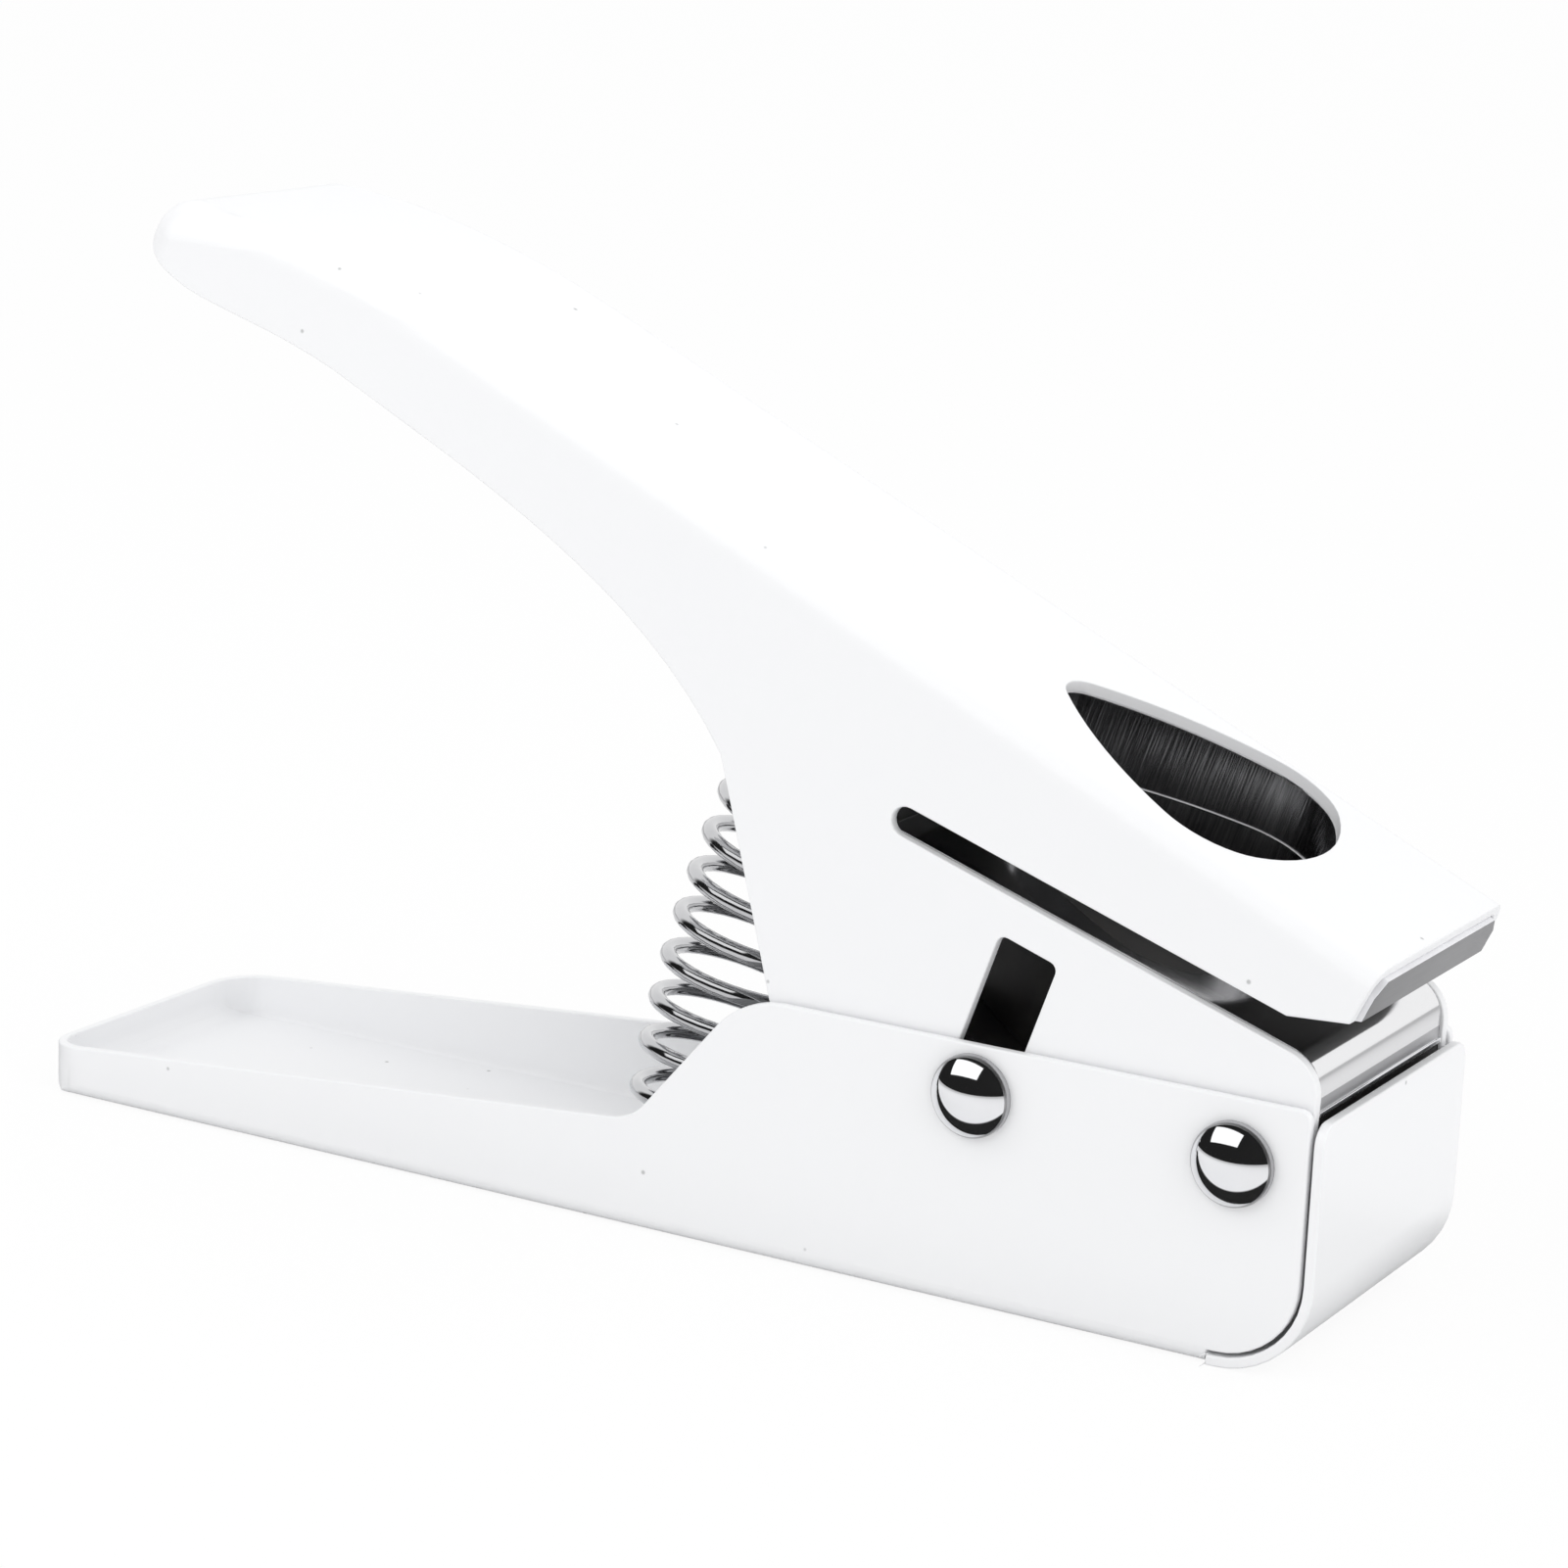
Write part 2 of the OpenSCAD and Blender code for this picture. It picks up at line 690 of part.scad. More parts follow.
// Place of the lower jaw's upright front at a height in the jaw frame
function jaw_at(height, inset) = (jaw_x - inset - height * sin(jaw_angle)) / cos(jaw_angle);
function nose_at(height) = (die_face_x + height * sin(slot_angle)) / cos(slot_angle);
function lid_at(s) = (lid_under - s * sin(slot_angle)) / cos(slot_angle);
module die_backing() {
    lid_front = to_jaw([die_face_x, lid_under]);
    bevel = top_bend_r - handle_t + plate_clear;
    side = plate_w / 2;
    color("dimgray")
        intersection() {
            jaw_block([
                [-plate_back, die_top],
                [nose_at(die_top), die_top],
                lid_front,
                [-plate_back, lid_at(-plate_back)]
            ], outlet_clear);
            // Its upper edges are bevelled to clear the bends of the handle
            in_lever()
                along(-far, far)
                    polygon([
                        [side + bevel, lid_under - 2 * bevel],
                        [side - 2 * bevel, lid_under + bevel],
                        [2 * bevel - side, lid_under + bevel],
                        [-side - bevel, lid_under - 2 * bevel],
                        [-side - bevel, -far],
                        [side + bevel, -far]
                    ]);
        }
}
module die_plate() {
    color("gray")
        jaw_block([
            [-plate_back, slot_top],
            [-lead_in_back, slot_top],
            to_jaw(lead_in_at(die_face_x)),
            [nose_at(die_top), die_top],
            [-plate_back, die_top]
        ], die_clear);
}
module guide_plate() {
    lip_bottom = guide_bottom - lip_drop;
    foot = [jaw_at(lip_bottom, guide_recess), lip_bottom];
    front = [jaw_at(slot_rise, guide_recess), slot_rise];
    color("silver")
        jaw_block(concat(
            [[-plate_back, guide_bottom], [foot[0] - lip_l, guide_bottom]],
            [[foot[0] - lip_l, lip_bottom], foot],
            fillet(foot, front, [-plate_back, slot_rise], jaw_corner_r - guide_recess),
            [[-plate_back, slot_rise]]
        ), die_clear);
}
module die_spacer() {
    color("gray")
        in_jaw()
            difference() {
                translate([-plate_back, -plate_w / 2, slot_rise])
                    cube([plate_back - slot_back - side_gap, plate_w, slot_h]);
                spring_way();
                die_screw_places()
                    cylinder(d = die_screw_d + 2 * running_clear, h = far);
            }
}
module die_screws() {
    bite = 4;
    color("dimgray")
        in_jaw()
            die_screw_places()
                translate([0, 0, guide_bottom - screw_head_t])
                    difference() {
                        union() {
                            cylinder(d = die_screw_d * screw_head_ratio, h = screw_head_t);
                            cylinder(d = die_screw_d, h = screw_head_t + die_top - guide_bottom + bite);
                        }
                        translate([0, 0, -1])
                            cylinder(d = die_screw_d * screw_socket_ratio, h = 1 + screw_socket_t, $fn = 6);
                    }
}

// Punch: a pick shaped column screwed on a holder that hangs on the punch pin
module punch_screw_places() {
    for (side = [-1, 1])
        translate([pin_mid + side * punch_screw_gap / 2, 0, 0])
            children();
}
module punch() {
    bite = 5;
    color("dimgray")
        in_jaw()
            difference() {
                translate([0, 0, holder_top])
                    linear_extrude(punch_face - holder_top)
                        pick_outline(0);
                punch_screw_places()
                    translate([0, 0, holder_top - 1])
                        cylinder(d = punch_screw_d + 2 * seat_clear, h = 1 + bite);
            }
}
module punch_holder() {
    slot_reach = [pin_sway / 2, 0];
    slot_mid = [pin_mid, pin_rest[1]];
    slot_r = punch_pin_d / 2 + pin_clear;
    color("black")
        in_jaw()
            difference() {
                translate([pin_mid - holder_l / 2, -holder_w / 2, holder_bottom])
                    cube([holder_l, holder_w, holder_top - holder_bottom]);
                across(holder_w + far)
                    polygon(concat(
                        arc(slot_mid + slot_reach, slot_r, -90, 90, 12),
                        arc(slot_mid - slot_reach, slot_r, 90, 270, 12)
                    ));
                punch_screw_places()
                    translate([0, 0, holder_bottom - 1]) {
                        cylinder(d = punch_screw_d + 2 * seat_clear, h = far);
                        cylinder(d = punch_screw_d * screw_head_ratio + 2 * screw_head_room,
                                 h = 1 + screw_head_room + screw_head_t);
                    }
            }
}
module punch_screws() {
    bite = 4.5;
    head_z = holder_bottom + screw_head_room;
    color("silver")
        in_jaw()
            punch_screw_places()
                translate([0, 0, head_z])
                    difference() {
                        union() {
                            cylinder(d = punch_screw_d * screw_head_ratio, h = screw_head_t);
                            cylinder(d = punch_screw_d, h = holder_top - head_z + bite);
                        }
                        translate([0, 0, -1])
                            cylinder(d = punch_screw_d * screw_socket_ratio, h = 1 + screw_socket_t, $fn = 6);
                    }
}

// Spring seat on the floor, its flush rivet, and the cup under the handle's top
seat_rivet_d = 4;
seat_rivet_head_d = 6;
seat_rivet_head_t = base_t / 2;
seat_rivet_foot_t = 1;
seat_rim_d = spring_od + 1;
cup_rim_d = spring_od - 0.2;
boss_d = spring_od - 2 * wire_d - 2;
module spring_seat() {
    color("silver")
        in_base()
            translate([-pivot_back - seat_back, 0, base_t])
                difference() {
                    union() {
                        cylinder(d = seat_rim_d, h = seat_t);
                        cylinder(d = boss_d, h = seat_t + boss_h);
                    }
                    translate([0, 0, -1])
                        cylinder(d = seat_rivet_d + 2 * seat_clear, h = far);
                    translate([0, 0, seat_t])
                        cylinder(d = boss_d - 2 * seat_t, h = far);
                }
}
module seat_rivet() {
    color("silver")
        in_base()
            translate([-pivot_back - seat_back, 0, 0])
                union() {
                    cylinder(d = seat_rivet_head_d, h = seat_rivet_head_t);
                    cylinder(d = seat_rivet_d, h = base_t + seat_t + seat_rivet_foot_t);
                    translate([0, 0, base_t + seat_t])
                        cylinder(d = seat_rivet_head_d, h = seat_rivet_foot_t);
                }
}
module spring_cup() {
    color("silver")
        in_lever()
            translate([-cup_back, 0, lid_under - seat_t - boss_h])
                difference() {
                    union() {
                        translate([0, 0, boss_h])
                            cylinder(d = cup_rim_d, h = seat_t);
                        cylinder(d = boss_d, h = boss_h + seat_t);
                    }
                    translate([0, 0, -1])
                        cylinder(d = boss_d - 2 * seat_t, h = boss_h + 1);
                }
}

// Return spring: a helix wound to the right round an axis that bows from the seat to the cup
coil_r = (spring_od - wire_d) / 2;
coil_off = wire_d / 2 + spring_clear;
axis_foot = [-seat_back, base_t + seat_t + coil_off - pivot_h];
axis_head = from_lever([-cup_back, lid_under - seat_t - coil_off]);
head_run = (axis_head[0] - axis_foot[0]) / sin(rest_angle);
axis_knee = axis_head - head_run * [sin(rest_angle), cos(rest_angle)];
axis_steps = 60;
rings_per_curl = 8;
wire_sides = 6;
ring_count = curls * rings_per_curl;
function axis_point(t) = pow(1 - t, 2) * axis_foot + 2 * t * (1 - t) * axis_knee + t * t * axis_head;
function axis_slope(t) = unit((1 - t) * (axis_knee - axis_foot) + t * (axis_head - axis_knee));
function axis_table(i, run) = i > axis_steps ? [] : concat(
    [[run, i / axis_steps]],
    axis_table(i + 1, run + norm(axis_point((i + 1) / axis_steps) - axis_point(i / axis_steps)))
);
axis_runs = axis_table(0, 0);
axis_l = axis_runs[axis_steps][0];
mid_pitch = (axis_l - 2 * end_pitch) / (curls - 2);
function run_at(k) = k < 1 ? k * end_pitch
    : k > curls - 1 ? axis_l - (curls - k) * end_pitch
    : end_pitch + (k - 1) * mid_pitch;
function coil_frame(i) =
    let (k = i / rings_per_curl)
    let (t = lookup(run_at(k), axis_runs))
    let (c = axis_point(t))
    let (d = axis_slope(t))
    let (a = spring_phase + 360 * k)
    let (out = [cos(a) * d[1], sin(a), -cos(a) * d[0]])
    [[c[0], 0, c[1]] + coil_r * out, out, [d[0], 0, d[1]]];
coil_frames = [for (i = [0:ring_count]) coil_frame(i)];
coil_points = [for (f = coil_frames) f[0]];
half_curl = rings_per_curl / 2;
coil_gap = min([
    for (i = [0:ring_count - half_curl])
        for (j = [i + half_curl:ring_count])
            norm(coil_points[j] - coil_points[i])
]) - wire_d;
echo(spring_gap = coil_gap);
module return_spring() {
    wire_r = wire_d / 2;
    rings = [
        for (f = coil_frames)
            for (s = [0:wire_sides - 1])
                f[0] + wire_r * (cos(360 * s / wire_sides) * f[1] + sin(360 * s / wire_sides) * f[2])
    ];
    sides = [
        for (i = [0:ring_count - 1])
            for (s = [0:wire_sides - 1])
                let (a = i * wire_sides + s)
                let (b = i * wire_sides + (s + 1) % wire_sides)
                for (face = [[a, b + wire_sides, b], [a, a + wire_sides, b + wire_sides]])
                    face
    ];
    last = ring_count * wire_sides;
    ends = [
        for (s = [1:wire_sides - 2])
            for (face = [[0, s, s + 1], [last, last + s + 1, last + s]])
                face
    ];
    color("silver")
        at_pivot()
            polyhedron(rings, concat(sides, ends));
}

base_tray();
spring_seat();
seat_rivet();
pivot_pin();
pivot_pin_cap();
punch_pin();
punch_pin_cap();
return_spring();
handle_shell();
pivot_bush_near();
pivot_bush_far();
pivot_spacer();
die_backing();
die_plate();
die_spacer();
guide_plate();
die_screws();
spring_cup();
punch();
punch_holder();
punch_screws();
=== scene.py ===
import json
from math import asin, atan2, cos, pi, radians, sin, sqrt, tan

import bmesh
import bpy
from mathutils import Matrix, Vector
from numpy import cumsum, interp, linspace


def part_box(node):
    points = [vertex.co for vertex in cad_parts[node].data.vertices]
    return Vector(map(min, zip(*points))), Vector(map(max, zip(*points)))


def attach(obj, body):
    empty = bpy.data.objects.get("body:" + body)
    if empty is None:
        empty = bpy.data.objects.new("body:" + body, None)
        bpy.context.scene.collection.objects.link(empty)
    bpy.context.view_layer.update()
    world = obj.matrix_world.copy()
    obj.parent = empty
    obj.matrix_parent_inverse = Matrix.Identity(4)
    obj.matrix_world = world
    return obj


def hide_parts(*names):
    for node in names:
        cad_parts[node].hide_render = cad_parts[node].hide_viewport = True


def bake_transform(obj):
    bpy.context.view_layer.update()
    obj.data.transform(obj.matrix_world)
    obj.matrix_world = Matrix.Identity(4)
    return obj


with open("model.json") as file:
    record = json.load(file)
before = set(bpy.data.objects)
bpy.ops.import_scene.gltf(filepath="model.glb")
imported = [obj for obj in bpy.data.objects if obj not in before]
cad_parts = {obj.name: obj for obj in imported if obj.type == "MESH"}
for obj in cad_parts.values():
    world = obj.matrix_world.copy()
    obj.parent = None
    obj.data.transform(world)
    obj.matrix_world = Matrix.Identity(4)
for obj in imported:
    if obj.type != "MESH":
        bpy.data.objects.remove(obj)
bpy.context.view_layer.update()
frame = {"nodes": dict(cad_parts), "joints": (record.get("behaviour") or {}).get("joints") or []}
MM = 0.001

# Camera
# It stands a little above the punch, in front of the nose's corner, as a product photographer's does.
# The focal length was chosen. The place and the turns come from a least squares fit of the base's and
# the handle's edges to the photograph with that length.
photo_px = 1601
focal_px = 4500
sensor_mm = 36
camera_at = Vector((204.117, -356.859, 139.999)) * MM
camera_turn = radians(29.2147)
camera_tilt = radians(13.5833)
camera_roll = radians(2.5168)
scene = bpy.context.scene
back = Vector((sin(camera_turn) * cos(camera_tilt), -cos(camera_turn) * cos(camera_tilt), sin(camera_tilt)))
right = Vector((cos(camera_turn), sin(camera_turn), 0))
up = back.cross(right)
camera_x = cos(camera_roll) * right + sin(camera_roll) * up
camera_y = cos(camera_roll) * up - sin(camera_roll) * right
lens = bpy.data.cameras.new("camera")
lens.sensor_width = sensor_mm
lens.lens = sensor_mm * focal_px / photo_px
lens.clip_start = 10 * MM
camera = bpy.data.objects.new("camera", lens)
camera.matrix_world = Matrix.Translation(camera_at) @ Matrix((camera_x, camera_y, back)).transposed().to_4x4()
scene.collection.objects.link(camera)
scene.camera = camera
scene.view_settings.view_transform = "Standard"


# Floor, room and softbox
# A white sheet of paper lies under the punch, a white wall stands behind it and one softbox hangs at the upper
# left. Reflections alone see a dark room on the camera's side, and a paper with painted shade, darker towards the
# punch and black in a strip along the punch's foot, so what the metal shows is staged.
class Wire:
    """A socket of a node tree. Arithmetic on it adds Math nodes, and add() brings in any other node."""

    def __init__(self, tree, socket=None):
        self.tree = tree
        self.socket = socket

    def feed(self, node, sockets):
        for name, value in sockets.items():
            if isinstance(value, Wire):
                self.tree.links.new(value.socket, node.inputs[name])
            else:
                node.inputs[name].default_value = value

    def add(self, kind, settings, sockets, out=0):
        node = self.tree.nodes.new(kind)
        for name, value in settings.items():
            setattr(node, name, value)
        self.feed(node, sockets)
        return Wire(self.tree, node.outputs[out])

    def math(self, operation, first, second=0.0):
        return self.add("ShaderNodeMath", {"operation": operation}, {0: first, 1: second})

    def __add__(self, other):
        return self.math("ADD", self, other)

    def __radd__(self, other):
        return self.math("ADD", other, self)

    def __sub__(self, other):
        return self.math("SUBTRACT", self, other)

    def __rsub__(self, other):
        return self.math("SUBTRACT", other, self)

    def __mul__(self, other):
        return self.math("MULTIPLY", self, other)

    def __rmul__(self, other):
        return self.math("MULTIPLY", other, self)

    def tint(self, mask, colour, other):
        """A colour that turns into the other one where the mask is 1."""
        return self.add("ShaderNodeMix", {"data_type": "RGBA"}, {0: mask, 6: colour, 7: other}, out=2)

    def fade(self, start, end):
        """1 where the value is at start or less, 0 where it is at end or more."""
        sockets = {"Value": self, "From Min": start, "From Max": end, "To Min": 1.0, "To Max": 0.0}
        return self.add("ShaderNodeMapRange", {"interpolation_type": "SMOOTHSTEP"}, sockets)

    def axis(self, name):
        return self.add("ShaderNodeSeparateXYZ", {}, {0: self}, out=name)


sky_low = 0.73
sky_rise = 0.04
sky_front = 0.76
dark_room = 0.015
wall_from, wall_to = 0.0, 0.22
paper_size = 8.0
paper_glow = 0.9
paper_near, paper_far = 0.06, 0.5
foot_shade_w = 13 * MM
foot_shade_blur = 2 * MM
softbox_way = Vector((-0.369, -0.603, 0.707)).normalized()
softbox_roll = radians(13)
softbox_off = 0.62
softbox_w = 0.73
softbox_h = 0.33
softbox_level = 1.15

room = bpy.data.worlds.new("room")
room.use_nodes = True
scene.world = room
air = Wire(room.node_tree)
way = air.add("ShaderNodeTexCoord", {}, {}, out="Generated")
seen_by_camera = air.add("ShaderNodeLightPath", {}, {}, out="Is Camera Ray")
seen_by_metal = air.add("ShaderNodeLightPath", {}, {}, out="Is Glossy Ray")
front = air.math("MAXIMUM", way.axis("X"), 0.0)
soft_sky = sky_low + way.axis("Z") * sky_rise + front * sky_front
white_wall = 1 - way.axis("Y").fade(wall_from, wall_to)
metal_sky = dark_room + white_wall * (1 - dark_room)
level = soft_sky + seen_by_metal * (metal_sky - soft_sky)
level = level + seen_by_camera * (1 - level)
air.feed(room.node_tree.nodes["Background"], {"Strength": level, "Color": (1, 1, 1, 1)})

paper_mesh = bmesh.new()
bmesh.ops.create_grid(paper_mesh, x_segments=1, y_segments=1, size=paper_size / 2)
paper = bpy.data.objects.new("paper", bpy.data.meshes.new("paper"))
paper_mesh.to_mesh(paper.data)
paper_mesh.free()
scene.collection.objects.link(paper)
paper_finish = bpy.data.materials.new("paper")
paper_finish.use_nodes = True
sheet = Wire(paper_finish.node_tree)
spot = sheet.add("ShaderNodeTexCoord", {}, {}, out="Object")
fibres = sheet.add("ShaderNodeTexNoise", {}, {"Vector": spot, "Scale": 900.0, "Detail": 3.0})
watched = sheet.add("ShaderNodeLightPath", {}, {}, out="Is Camera Ray")
mirrored = sheet.add("ShaderNodeLightPath", {}, {}, out="Is Glossy Ray")
# Painted shade seen only in metal: the paper darkens towards the punch and turns black in a strip along its foot.
foot_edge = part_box("base_tray")[1].y + foot_shade_w
foot_shade = sheet.math("ABSOLUTE", spot.axis("Y")).fade(foot_edge - foot_shade_blur, foot_edge)
paper_white = sheet.tint(fibres, (0.94, 0.94, 0.94, 1), (0.97, 0.97, 0.97, 1))
away = sheet.add("ShaderNodeVectorMath", {"operation": "LENGTH"}, {0: spot}, out="Value")
mirrored_paper_shade = sheet.tint(away.fade(paper_near, paper_far), (0.55, 0.55, 0.555, 1), (0.88, 0.88, 0.885, 1))
mirrored_paper_shade = sheet.tint(foot_shade, mirrored_paper_shade, (0.02, 0.02, 0.02, 1))
paper_tone = sheet.tint(mirrored, (0.83, 0.83, 0.83, 1), mirrored_paper_shade)
lit = sheet.add("ShaderNodeBsdfDiffuse", {}, {"Color": sheet.tint(watched, paper_tone, paper_white)})
glow = sheet.add("ShaderNodeEmission", {}, {"Color": (1, 1, 1, 1), "Strength": 1.0})
page = sheet.add("ShaderNodeMixShader", {}, {0: watched * paper_glow, 1: lit, 2: glow})
sheet.feed(paper_finish.node_tree.nodes["Material Output"], {"Surface": page})
paper.data.materials.append(paper_finish)

softbox = bpy.data.lights.new("softbox", "AREA")
softbox.shape = "RECTANGLE"
softbox.size = softbox_w
softbox.size_y = softbox_h
softbox.energy = softbox_level * pi * softbox_w * softbox_h
softbox_lamp = bpy.data.objects.new("softbox", softbox)
softbox_turn = softbox_way.to_track_quat("Z", "Y").to_matrix().to_4x4() @ Matrix.Rotation(softbox_roll, 4, "Z")
softbox_lamp.matrix_world = Matrix.Translation(softbox_way * softbox_off) @ softbox_turn
scene.collection.objects.link(softbox_lamp)


# Base
# One blank of 1 mm sheet steel, bent up into a tray with two high walls and a front flap.
# It is powder coated white after bending, so all its cut edges are softly rounded.
def joined_copy(node):
    """A bmesh of a CAD node, with its loose triangles joined and its flat faces made whole."""
    bm = bmesh.new()
    bm.from_mesh(frame["nodes"][node].data)
    bmesh.ops.remove_doubles(bm, verts=bm.verts, dist=0.002 * MM)
    bmesh.ops.dissolve_limit(bm, angle_limit=radians(0.5), verts=bm.verts, edges=bm.edges)
    return bm


def soften(bm, edge_r, steps=2, spared=()):
    """Rounds the sharp edges of a mesh, but for the spared ones."""
    sharp = [e for e in bm.edges if len(e.link_faces) == 2 and e.calc_face_angle() > rounded_from]
    sharp = [e for e in sharp if e not in spared]
    bmesh.ops.bevel(
        bm, geom=sharp, offset=edge_r, offset_type="OFFSET", affect="EDGES", segments=steps,
        profile=0.5, material=-1, clamp_overlap=False,
    )


def new_piece(name, bm, *finishes):
    """An object made of a mesh, with smooth round faces, crisp edges and its finishes."""
    mesh = bpy.data.meshes.new(name)
    for face in bm.faces:
        face.smooth = True
    bm.to_mesh(mesh)
    bm.free()
    mesh.set_sharp_from_angle(angle=crisp_from)
    for finish in finishes:
        mesh.materials.append(finish)
    made = bpy.data.objects.new(name, mesh)
    scene.collection.objects.link(made)
    shading = made.modifiers.new("even shading", "WEIGHTED_NORMAL")
    shading.keep_sharp = True
    return made


def fit(made, body, node):
    """Puts a piece on its body in place of a CAD node."""
    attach(made, body)
    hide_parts(node)


def new_finish(name):
    """A material, its Principled shader, the root wire of its nodes and the piece's own coordinates."""
    material = bpy.data.materials.new(name)
    material.use_nodes = True
    root = Wire(material.node_tree)
    place = root.add("ShaderNodeTexCoord", {}, {}, out="Object")
    return material, material.node_tree.nodes["Principled BSDF"], root, place


def powder_coat(name, darker, lighter):
    material, shader, root, place = new_finish(name)
    drift = root.add("ShaderNodeTexNoise", {}, {"Vector": place, "Scale": 45.0, "Detail": 2.0})
    peel = root.add("ShaderNodeTexNoise", {}, {"Vector": place, "Scale": 1400.0, "Detail": 2.0})
    grain = root.add("ShaderNodeTexNoise", {}, {"Vector": place, "Scale": 5200.0, "Detail": 1.0})
    dust = root.add("ShaderNodeTexVoronoi", {}, {"Vector": place, "Scale": 150.0}).fade(0.016, 0.045)
    colour = root.tint(drift, darker, lighter)
    colour = root.tint(dust * 0.6, colour, (0.3, 0.3, 0.3, 1))
    bump = {"Strength": 0.12, "Distance": 0.03 * MM, "Height": peel + grain * 0.4}
    normal = root.add("ShaderNodeBump", {}, bump)
    rough = 0.36 + drift * 0.08 + dust * 0.3
    root.feed(shader, {"Base Color": colour, "Roughness": rough, "Normal": normal, "IOR": 1.5})
    return material


rounded_from, crisp_from = radians(38), radians(40)
coat = powder_coat("white_powder_coat", (0.915, 0.92, 0.935, 1), (0.93, 0.935, 0.945, 1))
base = joined_copy("base_tray")
soften(base, 0.2 * MM)
for vert in base.verts:
    vert.co.z = max(vert.co.z, 0)
fit(new_piece("base_sheet", base, coat), "base", "base_tray")


# Spring seat and its rivet
# A washer with a drawn boss that keeps the spring's lower end in place, zinc plated.
# A steel rivet, flush below, holds it to the tray's floor.
def plated_steel():
    material, shader, root, place = new_finish("zinc_plate")
    bloom = root.add("ShaderNodeTexNoise", {}, {"Vector": place, "Scale": 380.0, "Detail": 5.0})
    crystal = root.add("ShaderNodeTexVoronoi", {}, {"Vector": place, "Scale": 1700.0})
    colour = root.tint(bloom, (0.56, 0.57, 0.6, 1), (0.69, 0.69, 0.69, 1))
    rough = 0.24 + bloom * 0.2 + crystal * 0.06
    normal = root.add("ShaderNodeBump", {}, {"Strength": 0.1, "Distance": 0.02 * MM, "Height": crystal})
    root.feed(shader, {"Base Color": colour, "Roughness": rough, "Normal": normal, "Metallic": 1.0})
    return material


def softened(node, name, edge_r, finish, body):
    """A piece with the shape of a CAD node and rounded edges."""
    bm = joined_copy(node)
    soften(bm, edge_r)
    fit(new_piece(name, bm, finish), body, node)


zinc = plated_steel()
softened("spring_seat", "spring_seat_plated", 0.25 * MM, zinc, "base")
softened("seat_rivet", "seat_rivet_plated", 0.12 * MM, zinc, "base")


# Pins
# Two steel pins through the base walls, each with a polished domed head on the near side.
# A domed cap with a socket is pressed on each far end. All four domes are chromed, their edges darker as painted
# shade.
def chrome():
    material, shader, root, place = new_finish("chrome")
    haze = root.add("ShaderNodeTexNoise", {}, {"Vector": place, "Scale": 260.0, "Detail": 4.0})
    ripple = root.add("ShaderNodeTexNoise", {}, {"Vector": place, "Scale": 420.0, "Detail": 1.0})
    colour = root.tint(haze, (0.84, 0.85, 0.87, 1), (0.91, 0.91, 0.92, 1))
    normal = root.add("ShaderNodeBump", {}, {"Strength": 0.06, "Distance": 0.05 * MM, "Height": ripple})
    rough = 0.02 + haze * 0.05
    root.feed(shader, {"Base Color": colour, "Roughness": rough, "Normal": normal, "Metallic": 1.0})
    return material


# A darker, rougher steel for the domes' edges and rims, painted shade for the wall in shade that they mirror.
def shaded_rim_steel():
    material, shader, root, place = new_finish("shaded_rim_steel")
    cloud = root.add("ShaderNodeTexNoise", {}, {"Vector": place, "Scale": 300.0, "Detail": 3.0})
    grain = root.add("ShaderNodeTexNoise", {}, {"Vector": place, "Scale": 3200.0, "Detail": 2.0})
    colour = root.tint(cloud, (0.5, 0.5, 0.51, 1), (0.58, 0.58, 0.59, 1))
    normal = root.add("ShaderNodeBump", {}, {"Strength": 0.1, "Distance": 0.02 * MM, "Height": grain})
    rough = 0.3 + cloud * 0.15
    root.feed(shader, {"Base Color": colour, "Roughness": rough, "Normal": normal, "Metallic": 1.0})
    return material


def turned(profile, at, axis, steps=96):
    """A bmesh turned on a lathe. The profile's points are (radius, distance along the axis)."""
    bm = bmesh.new()
    points = [bm.verts.new((r, 0, h)) for r, h in profile]
    edges = [bm.edges.new(pair) for pair in zip(points, points[1:])]
    bmesh.ops.spin(
        bm, geom=points + edges, cent=(0, 0, 0), axis=(0, 0, 1), angle=2 * pi, steps=steps, use_merge=True
    )
    bmesh.ops.remove_doubles(bm, verts=bm.verts, dist=0.001 * MM)
    bmesh.ops.recalc_face_normals(bm, faces=bm.faces)
    lie = Vector((0, 0, 1)).rotation_difference(axis).to_matrix().to_4x4()
    bmesh.ops.transform(bm, matrix=Matrix.Translation(at) @ lie, verts=bm.verts)
    return bm


def dome_profile(dome_r, dome_h, rim_h, steps=14):
    """Points of a domed head from its crown down to its foot, with a short upright rim."""
    cap_h = dome_h - rim_h
    ball_r = (dome_r ** 2 + cap_h ** 2) / (2 * cap_h)
    reach = asin(dome_r / ball_r)
    turns = [reach * i / steps for i in range(steps + 1)]
    return [(ball_r * sin(a), dome_h - ball_r * (1 - cos(a))) for a in turns] + [(dome_r, 0)]


def polish(bm, name, node, dome_r, middle):
    """Finishes a turned piece: the dome is polished chrome, and its edge and rim get darker steel as painted
    shade.
    """
    for face in bm.faces:
        out = face.calc_center_median() - middle
        if Vector((out.x, out.z)).length > chrome_share * dome_r:
            face.material_index = 1
    soften(bm, 0.08 * MM)
    fit(new_piece(name, bm, bright, rim_shade), "base", node)


